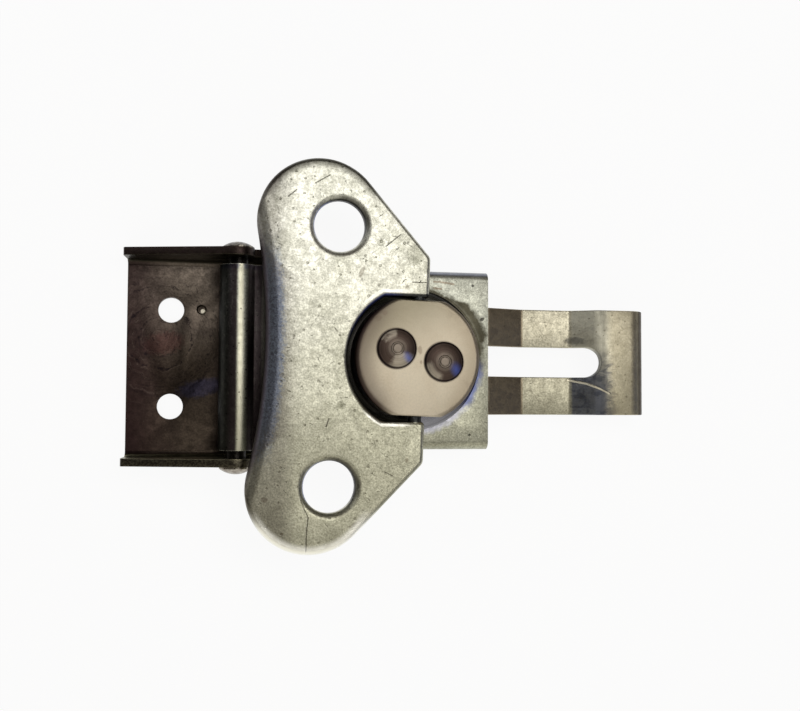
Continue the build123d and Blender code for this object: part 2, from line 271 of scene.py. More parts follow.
def makeTurnedRings():
    outputs = {"Rings": "Float", "Radius": "Float"}
    tree, given, result = newGroup("turnedRings", {"Place": None, "Centre": None, "Pitch": 0.4}, outputs)
    offset = inPlane(tree, vectorCalc(tree, "SUBTRACT", given["Place"], given["Centre"]))
    radius = vectorCalc(tree, "LENGTH", offset)
    line = makeNode(tree, "ShaderNodeCombineXYZ", {"X": radius}).outputs[0]
    rings = noise(tree, line, given["Pitch"], 3.0, 0.7)
    tree.links.new(rings, result["Rings"])
    tree.links.new(radius, result["Radius"])
    return tree


# Zinc plating: its tones and its two sizes of scratches, each a spacing, a length and a width
platingLook = {"speck": (0.38, tone(74, 70, 60)), "scratch": (0.75, tone(58, 53, 46)),
               "scratches": [(3.1, 1.1, 0.09), (7.3, 2.6, 0.05)]}


def makeZincPlating(look):
    inputs = {"Place": None, "Pale": tone(206, 205, 190), "Shade": tone(150, 150, 134), "Patch": 6.0,
              "Mottle": 0.5, "Scratches": 0.4}
    outputs = {"Colour": "Color", "Roughness": "Float", "Height": "Float"}
    tree, given, result = newGroup("zincPlating", inputs, outputs)
    place = given["Place"]
    patches = fade(tree, noise(tree, place, given["Patch"], 5.0, 0.6, 0.4), 0.35, 0.68)
    cloud = fade(tree, noise(tree, place, 1.3, 4.0, 0.65), 0.3, 0.72)
    grain = noise(tree, place, 0.36, 3.0, 0.65)
    specks = fade(tree, noise(tree, place, 0.42, 3.0, 0.7), 0.66, 0.78)
    shaded = calc(tree, "MULTIPLY_ADD", patches, 0.6, times(tree, cloud, 0.4))
    colour = tint(tree, given["Pale"], shaded, given["Mottle"], given["Shade"])
    colour = grade(tree, colour, grain, 0.7, 1.2)
    colour = tint(tree, colour, specks, *look["speck"])
    masks = [useGroup(tree, shortScratches, place=place, spacing=spacing, length=length, width=width,
                      amount=given["Scratches"])["Mask"] for spacing, length, width in look["scratches"]]
    broken = fade(tree, noise(tree, place, 0.5, 2.0), 0.38, 0.6)
    scratch = times(tree, calc(tree, "MAXIMUM", *masks), broken)
    colour = tint(tree, colour, scratch, *look["scratch"])
    tree.links.new(colour, result["Colour"])
    rough = calc(tree, "MULTIPLY_ADD", cloud, 0.12, 0.34)
    rough = calc(tree, "MULTIPLY_ADD", scratch, 0.2, rough)
    tree.links.new(calc(tree, "MULTIPLY_ADD", specks, 0.15, rough), result["Roughness"])
    height = calc(tree, "MULTIPLY_ADD", cloud, 0.5, times(tree, grain, 0.35))
    height = minus(tree, height, times(tree, scratch, 0.6))
    tree.links.new(minus(tree, height, times(tree, specks, 0.3)), result["Height"])
    return tree


shortScratches = makeShortScratches()
roundMarks = makeRoundMarks()
placedSpot = makePlacedSpot()
placedLine = makePlacedLine()
edgeRubAndCreaseShade = makeEdgeRubAndCreaseShade()
turnedRings = makeTurnedRings()
zincPlating = makeZincPlating(platingLook)
print("shader groups made")


# A material's shader, and the place on the part in millimetres
def startFinish(name):
    material = bpy.data.materials.new(name)
    material.use_nodes = True
    tree = material.node_tree
    shader = tree.nodes["Principled BSDF"]
    shader.inputs["Metallic"].default_value = 1.0
    place = vectorCalc(tree, "SCALE", makeNode(tree, "ShaderNodeTexCoord").outputs["Object"])
    place.node.inputs["Scale"].default_value = 1 / mm
    return material, tree, shader, place


def endFinish(tree, shader, colour, roughness, height, depth):  # depth is the relief in millimetres
    bump = makeNode(tree, "ShaderNodeBump", {"Height": height, "Distance": depth * mm}).outputs[0]
    for name, value in {"Base Color": colour, "Roughness": roughness, "Normal": bump}.items():
        plug(tree, value, shader.inputs[name])


def wearEdgesShadeCreases(tree, colour, place, look, where=1.0):  # outer edges rubbed bright as wear, and painted shade in the creases
    edge = useGroup(tree, edgeRubAndCreaseShade, place=place, reach=look["edgeReach"])
    if "rub" in look:
        colour = tint(tree, colour, times(tree, edge["Rub"], where), *look["rub"])
    return tint(tree, colour, edge["CreaseShade"], *look["creaseShading"])


def plateZinc(tree, place, look, paintedLight):  # pale and shade are each a tone for the less lit and the more lit side, painted light
    pale, shade = mixTone(tree, paintedLight, *look["pale"]), mixTone(tree, paintedLight, *look["shade"])
    zinc = useGroup(tree, zincPlating, place=place, pale=pale, shade=shade, **look["plating"])
    return zinc["Colour"], zinc["Roughness"], zinc["Height"]


def spotAt(tree, place, spot, ragged=0.3, inner=0.55):  # x, y, half length, half width, angle in degrees
    x, y, long, wide, angle = spot
    mask = useGroup(tree, placedSpot, place=place, centre=(x, y, 0.0), long=long, wide=wide,
                    angle=math.radians(-angle), ragged=ragged, inner=inner)
    return mask["Mask"]


def lineAt(tree, place, points, width, ragged=0.1):
    mask = 0.0
    for start, end in zip(points, points[1:]):
        piece = useGroup(tree, placedLine, place=place, start=(*start, 0.0), end=(*end, 0.0),
                         width=width, ragged=ragged)
        mask = calc(tree, "MAXIMUM", mask, piece["Mask"])
    return mask


# Wing handle: pale zinc with stains, short scratches and a crack, painted lighter towards +y, with painted
# reflection, highlight and shade on its rolled edge, lobe rims, finger holes and cut-out.
# A pair of a number and a tone is how strongly that tone covers the plating.
handleLook = {
    # each pair of tones is for the less lit and the more lit side, painted light
    "pale": (tone(186, 184, 162), tone(222, 221, 210)),
    "shade": (tone(146, 144, 124), tone(172, 172, 154)),
    "plating": {"patch": 9.0, "mottle": 0.75, "scratches": 0.55},
    # slant and the range below set the painted light: lighter towards +y and towards -x
    "slant": -0.45,
    "paintedLightY": (-40.0, 20.0),
    "stains": [(45.6, 19.6, 1.9, 2.3, 20), (39.0, 21.9, 0.75, 0.75, 0), (31.5, -9.1, 0.9, 0.85, 0)],
    "stain": (0.45, tone(112, 112, 92)),
    "freckles": [(35.4, 16.2, 0.5, 1.4, -20), (17.5, -26.5, 0.8, 0.6, 0), (34.5, -31.3, 1.5, 0.5, 25),
                 (44.2, -19.4, 0.4, 0.6, 0), (20.8, -32.8, 0.35, 0.3, 0), (44.1, 13.5, 0.5, 0.45, 0)],
    "freckle": (0.5, tone(96, 84, 66)),
    "scratches": [[(26.4, 32.7), (29.2, 34.4)], [(21.4, 30.0), (22.9, 31.3)],
                  [(40.0, 21.2), (42.9, 23.6)], [(45.2, 14.5), (47.9, 14.5)],
                  [(28.8, -13.1), (29.3, -11.6)], [(40.0, -21.6), (41.6, -22.4)]],
    "scratchWidth": 0.12,
    "scratch": (0.7, tone(62, 56, 46)),
    "crackLine": [(24.2, -26.6), (24.45, -27.4), (25.6, -29.9), (25.3, -32.6), (25.25, -36.2)],
    "crackWidth": 0.13,
    "crack": (0.6, tone(70, 64, 50)),
    "pit": (0.5, tone(104, 102, 84)),
    "waist": (-94.91, 4.63),
    "waistRadius": 112.39,
    "waistMiddleY": 1.0,
    "waistHalf": (23.0, 10.0),
    "brownHalf": (27.0, 17.0),
    # the blue and pale bands are painted reflection; the grain and brown bands are painted shade
    "waistBands": {"blue": ((4.0, 2.4), 0.75, tone(140, 162, 190)),
                   "pale": ((2.2, 0.6), 0.75, tone(196, 214, 232)),
                   "grain": ((4.6, 1.5), 0.5, tone(30, 36, 52)),
                   "brown": ((1.2, 0.3), 0.85, tone(50, 36, 40))},
    "lobeRadius": 12.0,
    # lobeLeft is painted shade; the upper lobe's rim is painted shade, the lower lobe's a painted highlight
    "lobeLeft": (0.45, tone(50, 36, 40)),
    "lobes": [
        {"middle": (27.68, 25.67), "reach": (-2.4, -0.7), "way": (2.0, 8.0),
         "rim": (0.85, tone(66, 64, 56))},
        {"middle": (25.92, -24.90), "reach": (-2.1, -0.8), "way": (-3.0, -8.0),
         "rim": (0.95, tone(255, 254, 244))},
    ],
    "fingerHoles": [(31.26, 24.89), (29.54, -24.38)],
    "fingerHoleRadius": 4.9,
    # holeLip is painted shade; the wall tones are painted shade to the right, a painted blue reflection to
    # the left and a painted highlight below
    "holeLip": (0.8, tone(56, 52, 48)),
    "holeWall": {"right": tone(30, 27, 30), "left": tone(104, 116, 166), "below": tone(214, 212, 200)},
    "cutRadius": 13.6,
    "cutHalfWidth": 11.8,
    "cutRimX": (46.0, 43.0),
    "cutRimY": (9.5, 11.5),
    # cutRim is a painted highlight; cutWall below is painted shade and a painted blue reflection
    "cutRim": (0.7, tone(244, 242, 232)),
    "cutBlueFrom": (1.75, 2.1),  # in radians
    "cutBlueTo": (3.0, 2.6),
    "cutWall": (tone(36, 38, 42), tone(50, 60, 122)),
    "edgeReach": 0.5,
    "creaseShading": (0.55, tone(52, 48, 40)),
}


def paintWaistShading(tree, colour, place, look):  # ragged bands of painted reflection and painted shade along the rolled waist
    inwards = minus(tree, awayFrom(tree, place, look["waist"]), look["waistRadius"])
    ragged = minus(tree, noise(tree, place, 0.45, 4.0, 0.75), 0.5)
    raggedIn = calc(tree, "MULTIPLY_ADD", ragged, 4.0, inwards)
    upOrDown = unsigned(tree, minus(tree, along(tree, place, "Y"), look["waistMiddleY"]))
    middle = fade(tree, calc(tree, "MULTIPLY_ADD", ragged, 10.0, upOrDown), *look["waistHalf"])
    between = fade(tree, calc(tree, "MULTIPLY_ADD", ragged, 8.0, upOrDown), *look["brownHalf"])
    grains = fade(tree, noise(tree, place, 0.4, 3.0, 0.7), 0.44, 0.6)
    areas = {"blue": (raggedIn, middle), "pale": (raggedIn, middle),
             "grain": (raggedIn, times(tree, grains, middle)), "brown": (inwards, between)}
    for band, (reach, strength, bandTone) in look["waistBands"].items():
        depth, area = areas[band]
        colour = tint(tree, colour, times(tree, fade(tree, depth, *reach), area), strength, bandTone)
    return colour


def paintLobeShading(tree, colour, place, look):  # painted brown shade to the left, and each lobe's own rim in painted shade or a painted highlight
    for lobe in look["lobes"]:
        xAway, yAway = offsetFrom(tree, place, lobe["middle"])
        rim = minus(tree, awayFrom(tree, place, lobe["middle"]), look["lobeRadius"])
        leftRim = times(tree, fade(tree, rim, -1.0, -0.2), fade(tree, xAway, -3.0, -8.0))
        colour = tint(tree, colour, leftRim, *look["lobeLeft"])
        ownRim = times(tree, fade(tree, rim, *lobe["reach"]), fade(tree, yAway, *lobe["way"]))
        colour = tint(tree, colour, ownRim, *lobe["rim"])
    return colour


def paintHoleShading(tree, colour, place, look):  # painted shade on the lip up to the right, and on the walls painted shade, a painted blue reflection and a painted highlight by their direction
    radius, wallTones = look["fingerHoleRadius"], look["holeWall"]
    for hole in look["fingerHoles"]:
        xAway, yAway = offsetFrom(tree, place, hole)
        outside = minus(tree, awayFrom(tree, place, hole), radius)
        upRight = calc(tree, "DIVIDE", calc(tree, "ADD", xAway, yAway), radius * math.sqrt(2))
        lip = times(tree, fade(tree, outside, 1.1, 0.5), fade(tree, upRight, 0.3, 1.0))
        colour = tint(tree, colour, lip, *look["holeLip"])
        wallTone = mixTone(tree, fade(tree, xAway, -1.0, -3.5), wallTones["right"], wallTones["left"])
        wallTone = mixTone(tree, fade(tree, yAway, -1.5, -4.2), wallTone, wallTones["below"])
        colour = tint(tree, colour, fade(tree, outside, 0.35, 0.05), 0.9, wallTone)
    return colour


def paintCutOutShading(tree, colour, place, look):  # a painted highlight on the rim above and below the disc, and painted shade and a painted blue reflection on the walls about it
    xPart, yPart = along(tree, place, "X"), along(tree, place, "Y")
    pastRound = minus(tree, awayFrom(tree, place, rotorCentre), look["cutRadius"])
    pastSides = minus(tree, unsigned(tree, yPart), look["cutHalfWidth"])
    outside = calc(tree, "MAXIMUM", pastRound, pastSides)
    rim = fade(tree, unsigned(tree, minus(tree, outside, 0.9)), 0.5, 0.2)
    rim = times(tree, rim, fade(tree, unsigned(tree, yPart), *look["cutRimY"]),
                fade(tree, xPart, *look["cutRimX"]))
    colour = tint(tree, colour, rim, *look["cutRim"])
    turn = calc(tree, "ARCTAN2", yPart, minus(tree, xPart, rotorCentre[0]))
    blueSide = times(tree, fade(tree, turn, *look["cutBlueFrom"]), fade(tree, turn, *look["cutBlueTo"]))
    wall = times(tree, fade(tree, pastRound, 0.5, 0.1), fade(tree, pastSides, 0.7, 0.3))
    return tint(tree, colour, wall, 0.95, mixTone(tree, blueSide, *look["cutWall"]))


def handleFinish(look):
    material, tree, shader, place = startFinish("zinc_handle")
    # painted light: the plating is paler towards +y and towards -x
    acrossPaintedLight = calc(tree, "MULTIPLY_ADD", along(tree, place, "X"), look["slant"], along(tree, place, "Y"))
    colour, rough, height = plateZinc(tree, place, look, fade(tree, acrossPaintedLight, *look["paintedLightY"]))
    for spot in look["stains"]:
        mask = spotAt(tree, place, spot)
        colour = tint(tree, colour, mask, *look["stain"])
        height = minus(tree, height, times(tree, mask, 0.8))
    for spot in look["freckles"]:
        colour = tint(tree, colour, spotAt(tree, place, spot, 0.6), *look["freckle"])
    for points in look["scratches"]:
        mask = lineAt(tree, place, points, look["scratchWidth"])
        colour = tint(tree, colour, mask, *look["scratch"])
        height = minus(tree, height, mask)
    crack = lineAt(tree, place, look["crackLine"], look["crackWidth"], 0.3)
    colour = tint(tree, colour, crack, *look["crack"])
    height = minus(tree, height, times(tree, crack, 2.0))
    pits = useGroup(tree, roundMarks, place=place, spacing=2.3, size=0.3, amount=0.55)["Mask"]
    colour = tint(tree, colour, pits, *look["pit"])
    height = minus(tree, height, pits)
    # painted reflection, highlight and shade, then edge wear with painted shade in the creases
    for shadingAndWear in (paintWaistShading, paintLobeShading, paintHoleShading, paintCutOutShading, wearEdgesShadeCreases):
        colour = shadingAndWear(tree, colour, place, look)
    endFinish(tree, shader, colour, rough, height, 0.035)
    return material


# Latch body: the same plating, painted lighter towards +y, with brown lines, pits and a band of painted
# shade, reflection and highlight round the turning disc; its curl about the pin is painted dark as shade,
# with a painted highlight along its crown
bodyLook = {
    "pale": (tone(182, 181, 160), tone(203, 204, 189)),
    "shade": (tone(146, 145, 126), tone(156, 156, 140)),
    "plating": {"patch": 7.0, "mottle": 0.7, "scratches": 0.4},
    "paintedLightZone": [("Y", -14.0, 14.0)],
    "pits": [(59.2, 15.0, 0.3, 0.28, 0), (61.2, 8.3, 0.55, 0.35, 20), (58.6, -14.9, 0.3, 0.3, 0)],
    "pit": (0.8, tone(48, 46, 40)),
    "brownLines": [[(51.2, 15.6), (53.0, 15.5), (55.2, 15.2)], [(51.0, 14.3), (52.6, 14.2)]],
    "brown": (0.6, tone(122, 96, 72)),
    "bandInside": 13.6,
    "bandOutside": (15.4, 16.8),
    "bandWide": [("Y", 1.0, 6.0), ("Y", 12.8, 10.6)],
    "bandBelow": [("Y", 1.0, -4.0)],
    "bandLowest": [("Y", -8.0, -11.0)],
    # above is painted shade, below a painted blue reflection, lowest a painted highlight
    "bandTones": {"above": tone(68, 64, 50), "below": tone(110, 118, 156), "lowest": tone(186, 186, 194)},
    "behindZone": [("X", 24.5, 21.0), ("X", 16.6, 17.6)],
    "behind": (0.85, tone(72, 71, 64)),
    "topBendZone": [("Y", 16.6, 17.1), ("Z", 8.0, 9.8)],
    "topBend": (0.8, tone(128, 132, 150)),
    # the crown tone is a painted highlight; curlRight and curlLeft are painted shade
    "curlZone": [("X", 18.0, 16.9)],
    "crownX": 13.1,
    "crownReach": (-1.0, 1.6),
    "crown": tone(196, 193, 172),
    "curlRight": tone(38, 28, 34),
    "curlLeft": tone(6, 6, 8),
    "edgeReach": 0.35,
    "rub": (0.5, tone(222, 220, 205)),
    "creaseShading": (0.7, tone(36, 34, 32)),
}


def paintDiscRingShading(tree, colour, place, look):  # a band of painted shade, painted blue reflection and painted highlight round the disc, wider above than below
    rings = useGroup(tree, turnedRings, place=place, centre=rotorCentre, pitch=0.5)
    inside = fade(tree, rings["Radius"], look["bandInside"] - 0.4, look["bandInside"] + 0.3)
    outside = fade(tree, inZone(tree, place, look["bandWide"]), 0.0, 1.0, *look["bandOutside"])
    uneven = minus(tree, noise(tree, place, 1.8, 4.0, 0.65), 0.5)
    reach = calc(tree, "MULTIPLY_ADD", uneven, 2.4, rings["Radius"])
    band = times(tree, inside, fade(tree, minus(tree, reach, outside), 0.3, -1.1))
    tones = look["bandTones"]
    bandTone = mixTone(tree, inZone(tree, place, look["bandBelow"]), tones["above"], tones["below"])
    bandTone = mixTone(tree, inZone(tree, place, look["bandLowest"]), bandTone, tones["lowest"])
    streaks = fade(tree, rings["Rings"], 0.25, 0.55, 0.85, 1.0)
    return tint(tree, colour, times(tree, band, streaks), 0.97, bandTone)


def paintCurlShading(tree, colour, place, look):  # a painted highlight on the crown, painted shade to both sides of it
    onCurl = inZone(tree, place, look["curlZone"])
    fromCrown = minus(tree, along(tree, place, "X"), look["crownX"])
    shine = times(tree, fade(tree, unsigned(tree, fromCrown), 0.9, 0.1), onCurl)
    colour = mixTone(tree, shine, colour, look["crown"])
    leftReach, rightReach = look["crownReach"]
    toLeft, toRight = fade(tree, fromCrown, -0.3, leftReach), fade(tree, fromCrown, 0.2, rightReach)
    streaks = noise(tree, vectorCalc(tree, "MULTIPLY", place, (1.0, 0.4, 1.0)), 0.6, 4.0, 0.7)
    offCrown = times(tree, calc(tree, "MAXIMUM", toLeft, toRight), fade(tree, streaks, 0.5, 0.75, 1.0, 0.94))
    curlTone = mixTone(tree, fade(tree, fromCrown, -1.4, -2.8), look["curlRight"], look["curlLeft"])
    colour = tint(tree, colour, times(tree, onCurl, offCrown), 0.96, curlTone)
    dots = useGroup(tree, roundMarks, place=place, spacing=1.2, size=0.2, amount=0.4)["Mask"]
    return tint(tree, colour, times(tree, dots, onCurl), 0.7, look["curlLeft"])


def bodyFinish(look):
    material, tree, shader, place = startFinish("zinc_body")
    # painted light: the plating is paler towards +y
    colour, rough, height = plateZinc(tree, place, look, inZone(tree, place, look["paintedLightZone"]))
    for spot in look["pits"]:
        mask = spotAt(tree, place, spot)
        colour = tint(tree, colour, mask, *look["pit"])
        height = minus(tree, height, times(tree, mask, 1.5))
    for points in look["brownLines"]:
        colour = tint(tree, colour, lineAt(tree, place, points, 0.28, 0.5), *look["brown"])
    colour = paintDiscRingShading(tree, colour, place, look)
    # painted shade on the plate between the curl and the handle
    colour = tint(tree, colour, inZone(tree, place, look["behindZone"]), *look["behind"])
    # painted blue reflection on the top bend
    colour = tint(tree, colour, inZone(tree, place, look["topBendZone"]), *look["topBend"])
    colour = paintCurlShading(tree, colour, place, look)
    colour = wearEdgesShadeCreases(tree, colour, place, look)
    endFinish(tree, shader, colour, rough, height, 0.03)
    return material


# Base bracket: dark handled steel with swirled rub marks, painted lighter towards +y and darker to the left,
# with painted light and shade on its flanges and a dimple
bracketLook = {
    "near": (tone(60, 52, 44), tone(48, 41, 35)),
    "far": (tone(98, 89, 80), tone(82, 74, 67)),
    "farZone": [("Y", -4.0, 15.0)],
    "stains": [((6.0, -5.8, 5.5, 2.0, 12), 0.5, tone(40, 42, 66)),
               ((-1.5, 3.0, 4.5, 2.6, 10), 0.35, tone(84, 46, 44))],
    "leftZone": [("X", 4.0, -8.0)],
    "left": (0.8, tone(34, 22, 23)),
    "plateTop": 1.5,
    "upperHalf": [("Y", -5.0, 5.0)],
    "flanges": (tone(146, 141, 116), tone(54, 52, 40)),
    "bend": tone(126, 122, 98),
    "flangeOutside": 19.3,
    "rims": (tone(28, 20, 22), tone(46, 36, 36)),
    "swirl": (-1.0, 5.4, 0.0),
    "mark": (0.22, tone(104, 94, 86)),
    "groove": (0.85, tone(22, 17, 20)),
    "dimple": [((5.55, 10.0, 0.8, 0.8, 0), 0.7, tone(26, 20, 16)),
               ((6.2, 9.4, 0.55, 0.55, 0), 0.9, tone(214, 208, 190))],
    "speck": (0.35, tone(132, 120, 108)),
    "edgeReach": 0.35,
    "rub": (0.2, tone(120, 112, 96)),
    "creaseShading": (0.4, tone(18, 15, 15)),
}


def bracketFinish(look):
    material, tree, shader, place = startFinish("dark_steel")
    upperHalf = inZone(tree, place, look["upperHalf"])
    patches = fade(tree, noise(tree, place, 7.0, 4.0, 0.6, 0.5), 0.35, 0.65)
    near, far = mixTone(tree, patches, *look["near"]), mixTone(tree, patches, *look["far"])
    # painted light: the plate is paler towards +y
    colour = mixTone(tree, inZone(tree, place, look["farZone"]), near, far)
    for spot, strength, stainTone in look["stains"]:
        colour = tint(tree, colour, spotAt(tree, place, spot, 0.5), strength, stainTone)
    grain = noise(tree, place, 0.4, 3.0, 0.65)
    colour = grade(tree, colour, grain, 0.75, 1.2)
    # painted shade: darker towards the left
    colour = tint(tree, colour, inZone(tree, place, look["leftZone"]), *look["left"])

    # painted light on the lower flange and painted shade on the upper, a painted highlight along the flange
    # bends and painted shade on the flanges' outer faces
    aboveTop = minus(tree, along(tree, place, "Z"), look["plateTop"])
    raised = fade(tree, aboveTop, 0.1, 0.8)
    colour = tint(tree, colour, raised, 0.85, mixTone(tree, upperHalf, *look["flanges"]))
    bend = times(tree, raised, fade(tree, aboveTop, 1.6, 0.9))
    strength = calc(tree, "MULTIPLY_ADD", upperHalf, -0.8, 0.9)  # strong on the lower bend, weak on the upper
    colour = tint(tree, colour, bend, strength, look["bend"])
    pastSide = minus(tree, unsigned(tree, along(tree, place, "Y")), look["flangeOutside"])
    outer = fade(tree, pastSide, 0.02, 0.12)
    outer = times(tree, outer, fade(tree, grain, 0.35, 0.6, 0.7, 1.0))
    colour = tint(tree, colour, outer, 0.9, mixTone(tree, upperHalf, *look["rims"]))

    waver = makeNode(tree, "ShaderNodeTexNoise", {"Vector": place, "Scale": 0.55, "Detail": 3.0})
    waver = vectorCalc(tree, "SCALE", waver.outputs["Color"])
    waver.node.inputs["Scale"].default_value = 2.4
    wavering = vectorCalc(tree, "ADD", place, waver)
    rings = useGroup(tree, turnedRings, place=wavering, centre=look["swirl"], pitch=0.6)
    broken = fade(tree, noise(tree, place, 1.1, 5.0, 0.75, 1.2), 0.42, 0.58)
    swirled = times(tree, broken, fade(tree, rings["Radius"], 16.0, 9.0), minus(tree, 1.0, raised))
    marks = times(tree, fade(tree, rings["Rings"], 0.5, 0.66), swirled)
    colour = tint(tree, colour, marks, *look["mark"])
    colour = tint(tree, colour, times(tree, fade(tree, rings["Rings"], 0.5, 0.4), swirled), *look["groove"])
    # painted shade and a painted highlight in the dimple
    for spot, strength, dimpleTone in look["dimple"]:
        colour = tint(tree, colour, spotAt(tree, place, spot, 0.1), strength, dimpleTone)
    colour = tint(tree, colour, fade(tree, noise(tree, place, 0.3, 3.0, 0.7), 0.66, 0.76), *look["speck"])
    colour = wearEdgesShadeCreases(tree, colour, place, look)
    rough = fade(tree, noise(tree, place, 1.2, 4.0, 0.6), 0.3, 0.7, 0.3, 0.46)
    endFinish(tree, shader, colour, rough, calc(tree, "MULTIPLY_ADD", marks, -0.5, grain), 0.012)
    return material


# Hinge pin: drawn steel, its riveted heads rubbed bright in flecks; each pair is the near and the far end,
# the near one painted lit and the far one painted in shade
pinLook = {
    "farHalf": [("Y", -5.0, 5.0)],
    "body": (tone(134, 124, 112), tone(64, 58, 54)),
    "bright": (tone(186, 180, 166), tone(150, 144, 130)),
    "insideEars": (20.7, 20.4),
    "hidden": (0.95, tone(12, 11, 12)),
    "edgeReach": 0.3,
    "creaseShading": (0.8, tone(14, 12, 12)),
}


def pinFinish(look):
    material, tree, shader, place = startFinish("pin_steel")
    farHalf = inZone(tree, place, look["farHalf"])
    body, bright = mixTone(tree, farHalf, *look["body"]), mixTone(tree, farHalf, *look["bright"])
    flecks = fade(tree, noise(tree, place, 1.3, 3.0, 0.6, 1.0), 0.4, 0.66)
    colour = tint(tree, body, flecks, 0.8, bright)
    # painted shade where the pin lies between the ears
    inside = fade(tree, unsigned(tree, along(tree, place, "Y")), *look["insideEars"])
    colour = tint(tree, colour, inside, *look["hidden"])
    colour = wearEdgesShadeCreases(tree, colour, place, look)
    rough = fade(tree, noise(tree, place, 0.8), 0.3, 0.7, 0.24, 0.4)
    endFinish(tree, shader, colour, rough, noise(tree, place, 1.2, 3.0, 0.5), 0.08)
    return material


# Hub: satin warm grey steel with a faint grain, with painted shade towards its rim, its far side, its side
# wall and round its rivets
hubLook = {
    "face": tone(190, 180, 160),
    "warm": (0.5, tone(178, 165, 144)),
    "farX": (-24.0, -10.0),
    "far": tone(140, 132, 112),
    "smudges": [(39.9, 8.5, 0.7, 0.5, 30), (38.7, 7.5, 0.8, 0.6, 40), (46.7, 1.5, 0.5, 0.9, 10),
                (46.9, -0.8, 0.3, 0.4, 0)],
    "smudge": (0.45, tone(112, 96, 82)),
    "sides": [  # over which radii, how far left or right of the middle, how strongly and in which tone
        ((6.5, 11.5), (-2.0, -9.0), 0.7, tone(98, 88, 78)),
        ((7.0, 12.0), (2.0, 8.0), 0.5, tone(146, 132, 110)),
        ((10.7, 12.0), (-4.0, -8.0), 0.9, tone(58, 44, 42)),
        ((11.5, 12.0), (3.0, 6.0), 0.55, tone(58, 44, 42)),
    ],
    "wallZone": [("Z", 17.1, 16.7)],
    "wall": (0.9, tone(30, 26, 28)),
    "rivets": [middleOf("hub_rivet_left"), middleOf("hub_rivet_right")],
    "rivetRadius": 3.8,
    "rivetRim": (0.6, tone(58, 44, 42)),
    "edgeReach": 0.4,
    "creaseShading": (0.6, tone(60, 46, 44)),
}


def hubFinish(look):
    material, tree, shader, place = startFinish("hub_steel")
    patches = fade(tree, noise(tree, place, 6.0, 3.0, 0.5, 0.3), 0.35, 0.68)
    colour = tint(tree, look["face"], patches, *look["warm"])
    # painted shade towards the far side
    farther = calc(tree, "MULTIPLY_ADD", along(tree, place, "X"), -0.5, along(tree, place, "Y"))
    colour = mixTone(tree, fade(tree, farther, *look["farX"]), colour, look["far"])
    grain = noise(tree, place, 0.34, 3.0, 0.65)
    colour = grade(tree, colour, grain, 0.9, 1.06)
    for smudge in look["smudges"]:
        colour = tint(tree, colour, spotAt(tree, place, smudge, 0.5), *look["smudge"])

    xAway = minus(tree, along(tree, place, "X"), rotorCentre[0])
    radius = awayFrom(tree, place, rotorCentre)
    # painted shade towards the left and right of the face and on its rim, strongest on the left
    for radii, ways, strength, sideTone in look["sides"]:
        side = times(tree, fade(tree, radius, *radii), fade(tree, xAway, *ways))
        colour = tint(tree, colour, side, strength, sideTone)
    # painted shade on the side wall
    colour = tint(tree, colour, inZone(tree, place, look["wallZone"]), *look["wall"])
    # painted shade round the rivet heads
    for rivet in look["rivets"]:
        outside = minus(tree, awayFrom(tree, place, rivet), look["rivetRadius"])
        colour = tint(tree, colour, fade(tree, outside, 0.35, 0.05), *look["rivetRim"])
    colour = wearEdgesShadeCreases(tree, colour, place, look)
    endFinish(tree, shader, colour, fade(tree, grain, 0.3, 0.7, 0.42, 0.5), grain, 0.006)
    return material


# Hub rivets: heads formed by an orbiting tool, with rings about a small centre nipple.
# A shine is a painted highlight: its direction and half width in degrees, and the radius that it starts from.
rivetLook = {
    "dark": tone(82, 69, 62),
    "bright": tone(178, 168, 152),
    "shines": {"hub_rivet_left": [(-72, 48, 0.3), (122, 22, 1.9)], "hub_rivet_right": [(-138, 40, 2.1)]},
    "blueSpot": {"hub_rivet_left": (2.2, -1.8, 1.7, 1.1, -45), "hub_rivet_right": (2.4, -1.6, 2.0, 1.5, -60)},
    "headZone": [("Z", 12.0, 14.0)],
    "blue": (0.8, tone(104, 126, 214)),
    "headRadius": 3.8,
    "rim": (0.9, tone(26, 20, 22)),
    "edgeReach": 0.3,
    "creaseShading": (0.9, tone(12, 10, 12)),
}


